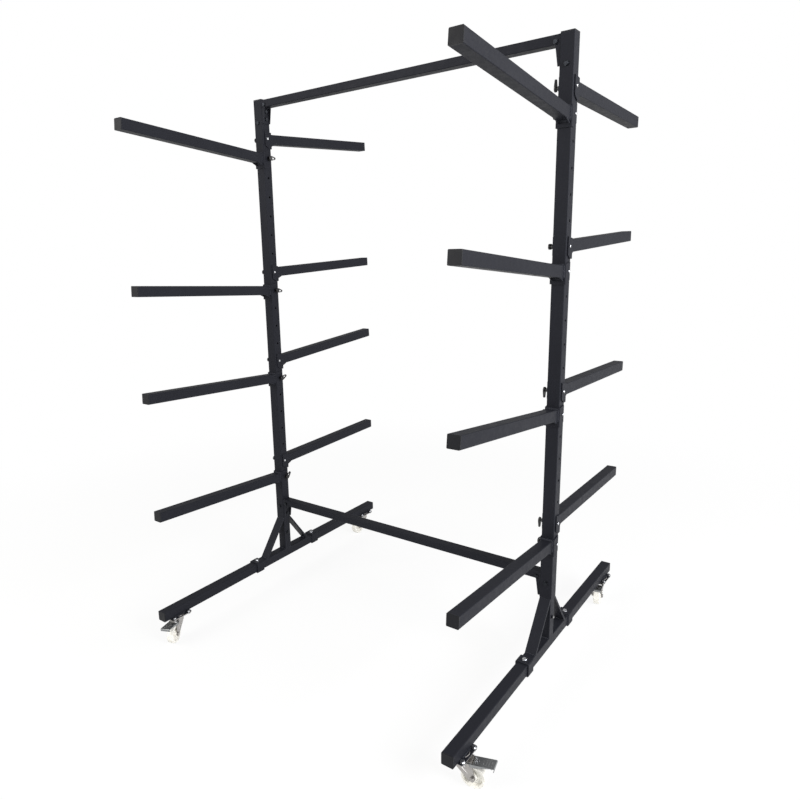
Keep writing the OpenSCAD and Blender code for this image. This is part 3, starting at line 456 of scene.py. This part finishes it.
# %% Beads round the arms
HOLE_FIRST, HOLE_PITCH = 516 * MM, 80 * MM
UPRIGHT = 45 * MM              # side of an upright
SLIDE_FIT = 0.3 * MM           # gap all round between parts that slide over each other
SADDLE_SHEET = 4 * MM
LEVELS = (                     # side, front or rear, holes of its four arms, rises in degrees
    (-1, -1, (18, 11, 6, 0), (5, 3.5, 3, 3)),
    (1, -1, (18, 12, 6, 0), (6.5, 5.5, 6.5, 3.5)),
    (-1, 1, (19, 12, 7, 1), (3, 2, 4, 1.5)),
    (1, 1, (19, 13, 7, 1), (-1.5, 2.5, -2, -1)),
)
saddle_out = UPRIGHT / 2 + SLIDE_FIT + SADDLE_SHEET
arm_beads = [section_bead(TUBE / math.cos(math.radians(rise)), saddle_out + BEAD_OUT, depth,
                          (side * UPRIGHT_X, 0, HOLE_FIRST + HOLE_PITCH * hole))
             for side, depth, holes, rises in LEVELS for hole, rise in zip(holes, rises)]
add_piece("arm_weld_beads", arm_beads, [coat], "frame")

# %% [markdown]
# The feet have straight beads where the post and the flat braces stand on the base tube, a bead round
# the inner end of each sleeve, and short stitches between leg and caster plate, kept clear of the bolts.

# %% Beads of the feet
PLATE_TOP = 105 * MM           # top of the caster plates, on which the legs lie
PLATE_Y = {-1: 659 * MM, 1: 632 * MM}      # middle of the caster plate, front and rear
POST = 40.4 * MM               # side of the short post that enters the upright
SLEEVE_Y, SLEEVE_LENGTH = 194 * MM, 42 * MM
BRACE_SEAMS = (134.2 * MM, 145.8 * MM)     # y of both faces of a brace, where it stands on the base
POST_SEAM_HALF, BRACE_SEAM_HALF, STITCH_HALF = 17 * MM, 18 * MM, 25 * MM
leg_z = PLATE_TOP + TUBE / 2
seam_z = PLATE_TOP + TUBE + BEAD_OUT

foot_beads = []
for side in (-1, 1):
    x = side * UPRIGHT_X
    for depth in (-1, 1):
        foot_beads.append(section_bead(TUBE, SLEEVE_Y - SLEEVE_LENGTH / 2 - BEAD_OUT, depth, (x, 0, leg_z)))
        seams = [(POST / 2 + BEAD_OUT, POST_SEAM_HALF)] + [(y, BRACE_SEAM_HALF) for y in BRACE_SEAMS]
        for y, half in seams:
            foot_beads.append(straight_bead((x - half, depth * y, seam_z), (x + half, depth * y, seam_z),
                                            (0, depth, 1)))
        for edge in (-1, 1):
            beside = x + edge * (TUBE / 2 + BEAD_OUT)
            middle = depth * PLATE_Y[depth]
            foot_beads.append(straight_bead((beside, middle - STITCH_HALF, PLATE_TOP + BEAD_OUT),
                                            (beside, middle + STITCH_HALF, PLATE_TOP + BEAD_OUT),
                                            (edge, 0, 1)))
add_piece("foot_weld_beads", foot_beads, [coat], "frame")

# %% [markdown]
# ## Bolts
# Real hexagon bolts have a chamfer that rounds off the corners of the head, a washer under head and
# nut, and threads that stand out of the nut. A hexagon is a turned form whose radius is cut to that of
# the flats: at an angle a the flat lies at half the width across flats over cos(a - 30 degrees).

# %% Hexagon bolts
SIDES = 24                     # points round a turned form
ACROSS_FLATS = 13.0            # mm, as are the other sizes of a bolt
UNCUT = 8.0                    # radius beyond the corners of the hexagon, which the flats cut
SHANK = 4.0                    # radius of the shank, and of the crests of its thread
HEAD, NUT, THIN_NUT = 5.0, 6.4, 4.4        # heights
END_OUT = 1.5                  # length of thread that stands out of the nut
WASHER = ((8.2, 0.0), (8.5, 0.3), (8.5, 1.1), (8.3, 1.3))      # radius and height


def turned(profile, hexagon=False):
    """Turned form: each profile point (r, h), in mm, sweeps a ring (r cos a, r sin a, h). A hexagon
    cuts r to ACROSS_FLATS / 2 / cos((a mod 60 degrees) - 30 degrees)."""
    r, h = np.array(profile).T[:, :, None]
    a = circle_angles(SIDES)
    if hexagon:
        r = np.minimum(r, ACROSS_FLATS / 2 / np.cos(a % (np.pi / 3) - np.pi / 6))
    return MM * np.stack([r * np.cos(a), r * np.sin(a), np.broadcast_to(h, (len(h), SIDES))], axis=-1)


def hexagon_bolt(origin, axis, grip, nut=NUT):
    """Head, washer, shank with a threaded end, nut and second washer, each a closed turned skin, drawn
    about +Z and stood with +Z along axis. The head stands on origin; the nut lies grip mm below it."""
    low = -grip - nut
    end = low - END_OUT
    head = turned([(6.4, 0), (UNCUT, 0.2), (UNCUT, HEAD - 0.8), (7.1, HEAD - 0.3), (6.2, HEAD)],
                  hexagon=True)
    low_washer = turned([(r, -grip - h) for r, h in reversed(WASHER)])
    nut_form = turned([(6.4, low), (7.2, low + 0.5), (UNCUT, low + 1), (UNCUT, -grip - 0.1),
                       (6.4, -grip)], hexagon=True)
    shank = turned([(3.3, end), (3.9, end + 0.5), (3.5, end + 0.9), (SHANK, end + 1.3), (3.6, low),
                    (SHANK, low + 1), (SHANK, 0.5)])
    z = np.array(axis, float)
    x = np.array([0.0, 0.0, 1.0]) if abs(z[2]) < 0.9 else np.array([1.0, 0.0, 0.0])
    turn = np.stack([x, np.cross(z, x), z])
    return [skin(np.array(origin) + form @ turn)
            for form in (head, turned(WASHER), low_washer, nut_form, shank)]


print("a bolt head has", SIDES, "points round")

# %% [markdown]
# The bolts go where the model has them. Two go through each upright from front to back and one across
# the post below it. Every end bracket is held by two to the upright and by one to its bar, and one goes
# down through each sleeve. Those in the black tubes are blackened and hardly show, while those of the
# sleeves and casters are bright zinc. The set replaces the plain bolts of the model.

# %% Where the bolts are
THROUGH_UPRIGHT = (365 * MM, 2100 * MM)    # heights
THROUGH_POST = 227 * MM
BAR_UNDERSIDES = (2158 * MM, 373 * MM)     # of the top and the bottom crossbar
BRACKET_HOLES = (14 * MM, 44 * MM)         # below the bar's underside
BAR_HOLE_UP, BAR_HOLE_IN = 10 * MM, 15 * MM        # from the bar's underside, and from the upright
BRACKET_SHEET, UPRIGHT_WALL, POST_WALL = 3 * MM, 2 * MM, 2.5 * MM
SLEEVE = 50 * MM               # side of a sleeve
PLATE_HOLES_X, PLATE_HOLES_Y = 27 * MM, 36 * MM    # from the middle of a caster plate
PLATE_GRIP = 6 * MM            # the leg's plate and the caster's, one on the other
BLACK, BRIGHT = 0, 1
thin_grip = BRACKET_SHEET + UPRIGHT_WALL
bracket_grips = (thin_grip, thin_grip + SLIDE_FIT + POST_WALL)     # the post's wall lies behind the lower

frame_bolts, frame_kind = [], []


def put_bolt(kind, place, axis, grip):
    """Adds one bolt's skins to the frame's set and notes which finish they take."""
    skins = hexagon_bolt(place, axis, grip / MM)
    frame_bolts.extend(skins)
    frame_kind.extend([kind] * len(skins))


for side in (-1, 1):
    x = side * UPRIGHT_X
    upright_face = side * (UPRIGHT_X - UPRIGHT / 2)
    for height in THROUGH_UPRIGHT:
        put_bolt(BLACK, (x, -UPRIGHT / 2, height), (0, -1, 0), UPRIGHT)
    put_bolt(BLACK, (x + POST / 2, 0, THROUGH_POST), (1, 0, 0), POST)
    for underside, grip in zip(BAR_UNDERSIDES, bracket_grips):
        for down in BRACKET_HOLES:
            put_bolt(BLACK, (upright_face - side * BRACKET_SHEET, 0, underside - down), (-side, 0, 0), grip)
        put_bolt(BLACK, (upright_face - side * BAR_HOLE_IN, -TUBE / 2, underside + BAR_HOLE_UP),
                 (0, -1, 0), TUBE)
    for depth in (-1, 1):
        put_bolt(BRIGHT, (x, depth * SLEEVE_Y, leg_z + SLEEVE / 2), (0, 0, 1), SLEEVE)
bolt_piece = add_piece("frame_bolt_set", frame_bolts, [bolt_black, bolt_zinc], "frame",
                       frame_kind)
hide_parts("frame_bolts")

plate_bolts = [one for side in (-1, 1) for depth in (-1, 1)
               for across in (-PLATE_HOLES_X, PLATE_HOLES_X) for along in (-PLATE_HOLES_Y, PLATE_HOLES_Y)
               for one in hexagon_bolt((side * UPRIGHT_X + across, depth * PLATE_Y[depth] + along,
                                        PLATE_TOP), (0, 0, 1), PLATE_GRIP / MM, THIN_NUT)]
plate_piece = add_piece("caster_bolt_set", plate_bolts, [bolt_zinc], "frame")
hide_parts("caster_bolts")

# %% [markdown]
# ## Casters
# A pressed caster gets its stiffness from its folds. Each cheek of the fork has a pressed rib, the
# pedal's tread has ridges for the shoe, and the ring of balls glints between the two race cups. The
# top plate has a round ridge pressed up over the race, which shows as a bright crescent beside the
# leg. A pressed rib is half an ellipsoid, blunted at its ends, that stands out of the sheet.

# %% Ribs, ridges and balls
CASTERS = (                    # side, front or rear, name, degrees from +X to where the wheel trails
    (-1, -1, "front_left", -65), (1, -1, "front_right", 11),
    (-1, 1, "rear_left", -93), (1, 1, "rear_right", -80),
)
CRESCENT_RADIUS, CRESCENT_WIDTH, CRESCENT_HEIGHT = 28 * MM, 2.2 * MM, 1.4 * MM
CRESCENT_SPAN = math.radians(33)           # to each side of its middle
# what follows is in mm, as the small pieces of a caster are, with the swivel axis at x = y = 0
CHEEK_OUT = 17.5               # from the middle of the wheel to the fork's outer face
RIB_HIGH, RIB_LOW = (1, 70), (31, 46)      # x and z of the ends of a fork's rib
RIB_HALF_WIDTH, RIB_HEIGHT = 3.2, 1.3
TREAD_BACK, TREAD_RUN, TREAD_RISE = (43, 87), 67, 9        # the tread's back edge and its slope
TREAD_UP = (-0.13, 0, 1)       # out of the tread
RIDGES, RIDGE_REACH = (72, 80, 88, 96), 13         # x of the ridges on the tread, half their length
RIDGE_HALF_WIDTH, RIDGE_HEIGHT = 1.6, 0.5
BALLS, BALL_RADIUS, BALL_RING, BALL_Z = 30, 1.5, 23.4, 95.15


def blunted(count):
    """Places f along a rib, from -1 to 1 and closer at its ends, and its size there, (1 - f^4)^0.5."""
    f = np.sin(np.linspace(-0.97, 0.97, count) * np.pi / 2)[:, None]
    return f, np.sqrt(1 - f ** 4)


def pressed_rib(start, end, normal, half_width, height):
    """Blunted half ellipsoid from start to end: along it a ring of half_width and height, times the
    size from blunted, in the directions across = normal x along, and normal."""
    start, end, normal = (np.array(a, float) for a in (start, end, normal))
    middle, half = (start + end) / 2, (end - start) / 2
    along = half / np.linalg.norm(half)
    normal = normal - (normal @ along) * along
    normal /= np.linalg.norm(normal)
    f, size = blunted(15)
    return rings_along(middle + f * half, size * half_width * np.cross(normal, along),
                       size * height * normal, 12)


def plate_crescent(side, depth, edge):
    """Arc of the pressed ridge, beside the leg's edge: at angles a of up to CRESCENT_SPAN to each side
    a ring, CRESCENT_WIDTH along the radius by CRESCENT_HEIGHT along Z, times the size from blunted."""
    f, size = blunted(27)
    a = f * CRESCENT_SPAN
    outwards = np.hstack([edge * np.cos(a), edge * np.sin(a), np.zeros_like(a)])
    middle = np.array([side * UPRIGHT_X, depth * PLATE_Y[depth], PLATE_TOP])
    return skin(rings_along(middle + CRESCENT_RADIUS * outwards, size * CRESCENT_WIDTH * outwards,
                            size * CRESCENT_HEIGHT * np.array([0.0, 0.0, -1.0]), 12))


def ball(x, y):
    """Ball as rings of latitude l: radius BALL_RADIUS cos l, at the height BALL_RADIUS sin l, with l
    from -1.35 to 1.35 radians and a fan over each pole."""
    latitude = np.linspace(-1.35, 1.35, 6)[:, None]
    b = circle_angles(9)
    flat = BALL_RADIUS * np.cos(latitude)
    height = np.broadcast_to(BALL_Z + BALL_RADIUS * np.sin(latitude), (6, 9))
    return np.stack([x + flat * np.cos(b), y + flat * np.sin(b), height], axis=-1)


def in_caster(forms, side, depth, heading):
    """Skins of forms drawn in mm about the swivel axis, turned to the heading and put in place."""
    c, s = math.cos(math.radians(heading)), math.sin(math.radians(heading))
    turn = np.array([[c, s, 0], [-s, c, 0], [0, 0, 1]])
    return [skin(form * MM @ turn + (side * UPRIGHT_X, depth * PLATE_Y[depth], 0)) for form in forms]


fork_ribs = [pressed_rib((RIB_HIGH[0], edge * CHEEK_OUT, RIB_HIGH[1]),
                         (RIB_LOW[0], edge * CHEEK_OUT, RIB_LOW[1]), (0, edge, 0),
                         RIB_HALF_WIDTH, RIB_HEIGHT)
             for edge in (-1, 1)]
tread_z = [TREAD_BACK[1] + TREAD_RISE * (x - TREAD_BACK[0]) / TREAD_RUN for x in RIDGES]
tread_ridges = [pressed_rib((x, -RIDGE_REACH, z), (x, RIDGE_REACH, z), TREAD_UP, RIDGE_HALF_WIDTH,
                            RIDGE_HEIGHT) for x, z in zip(RIDGES, tread_z)]
race_balls = [ball(BALL_RING * math.cos(a), BALL_RING * math.sin(a)) for a in circle_angles(BALLS)]
for side, depth, name, heading in CASTERS:
    place = (side, depth, heading)
    add_piece("fork_ribs_" + name, in_caster(fork_ribs, *place), [fork_zinc], "swivel_" + name)
    add_piece("pedal_ridges_" + name, in_caster(tread_ridges, *place), [pedal_steel], "pedal_" + name)
    add_piece("race_balls_" + name, in_caster(race_balls, *place), [bolt_zinc], "frame")

crescents = [plate_crescent(side, depth, edge) for side, depth, *_ in CASTERS for edge in (-1, 1)]
add_piece("plate_crescents", crescents, [fork_zinc], "frame")

# %% [markdown]
# ## Floor, backdrop and light
# The photograph is a cut-out on white. A white floor would need strong lamps to look white, and those
# would wash out the paint, so the floor is a pale surface that adds white only for rays that come
# straight from the camera, a gloss or a glass. The object's shadow stays on it.

# %% Floor
FLOOR_HALF = 14.0
GLOSS_SHARE = 0.7              # how much of that white the gloss of the object sees
WHITE_NEAR, WHITE_FAR = 1.6, 3.6           # distances between which the white rises to its full share
NEAR_SHARE = 0.88


def floor_material():
    """Pale floor: part white light for camera, glossy and transmission rays, the rest lit paint.
    The white part rises smoothly to all of it a few metres out, so that no horizon shows."""
    material, tree, shader = new_material("pale_floor")
    feed(shader, Base_Color=linear("#F4F4F2"), Roughness=0.9, Specular_IOR_Level=0.1)
    ray = add_node(tree, "ShaderNodeLightPath")
    in_gloss = add_node(tree, "ShaderNodeMath", {"operation": "MULTIPLY"},
                        s0=ray.outputs["Is Glossy Ray"], s1=GLOSS_SHARE)
    seen = add_node(tree, "ShaderNodeMath", {"operation": "MAXIMUM"}, s0=ray.outputs["Is Camera Ray"],
                    s1=in_gloss.outputs[0])
    seen = add_node(tree, "ShaderNodeMath", {"operation": "MAXIMUM"}, s0=seen.outputs[0],
                    s1=ray.outputs["Is Transmission Ray"])
    place = add_node(tree, "ShaderNodeTexCoord").outputs["Object"]
    away = add_node(tree, "ShaderNodeVectorMath", {"operation": "LENGTH"}, s0=place)
    glow = add_node(tree, "ShaderNodeMapRange", {"interpolation_type": "SMOOTHSTEP"},
                    Value=away.outputs["Value"], From_Min=WHITE_NEAR, From_Max=WHITE_FAR,
                    To_Min=NEAR_SHARE, To_Max=1.0)
    part = add_node(tree, "ShaderNodeMath", {"operation": "MULTIPLY"}, s0=seen.outputs[0],
                    s1=glow.outputs["Result"])
    white = add_node(tree, "ShaderNodeEmission", Color=(1.0, 1.0, 1.0, 1.0), Strength=1.0)
    mix = add_node(tree, "ShaderNodeMixShader", s0=part.outputs[0], s1=shader.outputs[0],
                   s2=white.outputs[0])
    feed(find_node(tree, "OUTPUT_MATERIAL"), s0=mix.outputs[0])
    return material


floor_corners = [(x * FLOOR_HALF, y * FLOOR_HALF, 0) for x, y in ((-1, -1), (1, -1), (1, 1), (-1, 1))]
floor_mesh = bpy.data.meshes.new("floor")
floor_mesh.from_pydata(floor_corners, [], [(0, 1, 2, 3)])
floor_mesh.materials.append(floor_material())
floor = bpy.data.objects.new("floor", floor_mesh)
bpy.context.scene.collection.objects.link(floor)
print("floor", 2 * FLOOR_HALF, "m wide")

# %% [markdown]
# The studio is soft: grey light from all round, and three broad lamps. One stands in front on the left,
# the strongest high on the right, where it lights the tops and right faces of the tubes, and a weak one
# behind. The world is plain white only where the camera sees it directly or through a clear part.

# %% World and lamps
WORLD_LIGHT = 0.45             # what the world gives the object

world = bpy.data.worlds.new("studio")
world.use_nodes = True
sky = world.node_tree
sky.nodes.clear()
ray = add_node(sky, "ShaderNodeLightPath")
seen = add_node(sky, "ShaderNodeMath", {"operation": "MAXIMUM"}, s0=ray.outputs["Is Camera Ray"],
                s1=ray.outputs["Is Transmission Ray"])
strength = add_node(sky, "ShaderNodeMapRange", Value=seen.outputs[0], To_Min=WORLD_LIGHT, To_Max=1.0)
glow = add_node(sky, "ShaderNodeBackground", Color=(1.0, 1.0, 1.0, 1.0),
                Strength=strength.outputs["Result"])
add_node(sky, "ShaderNodeOutputWorld", Surface=glow.outputs[0])
bpy.context.scene.world = world


def soft_lamp(name, place, target, size, watts, colour):
    """A square area lamp at place, turned so that its -Z axis points at target."""
    data = bpy.data.lights.new(name, "AREA")
    data.shape, data.size, data.energy, data.color = "SQUARE", size, watts, linear(colour)[:3]
    lamp = bpy.data.objects.new(name, data)
    lamp.location = place
    lamp.rotation_euler = (Vector(target) - Vector(place)).to_track_quat("-Z", "Y").to_euler()
    bpy.context.scene.collection.objects.link(lamp)


soft_lamp("key", (-2.4, -3.8, 3.0), (0, 0, 1.3), size=2.6, watts=140, colour="#FFFDFA")
soft_lamp("fill", (4.6, -0.8, 2.9), (-0.6, 0, 1.7), size=2.2, watts=250, colour="#FAFAFF")
soft_lamp("rim", (4.4, 3.2, 2.6), (-0.3, 0, 1.5), size=2.4, watts=80, colour="#FFFFFF")

# %% [markdown]
# ## Finish
# The Standard view shows a colour about as it is written.

# %% Finish
bpy.context.scene.view_settings.view_transform = "Standard"
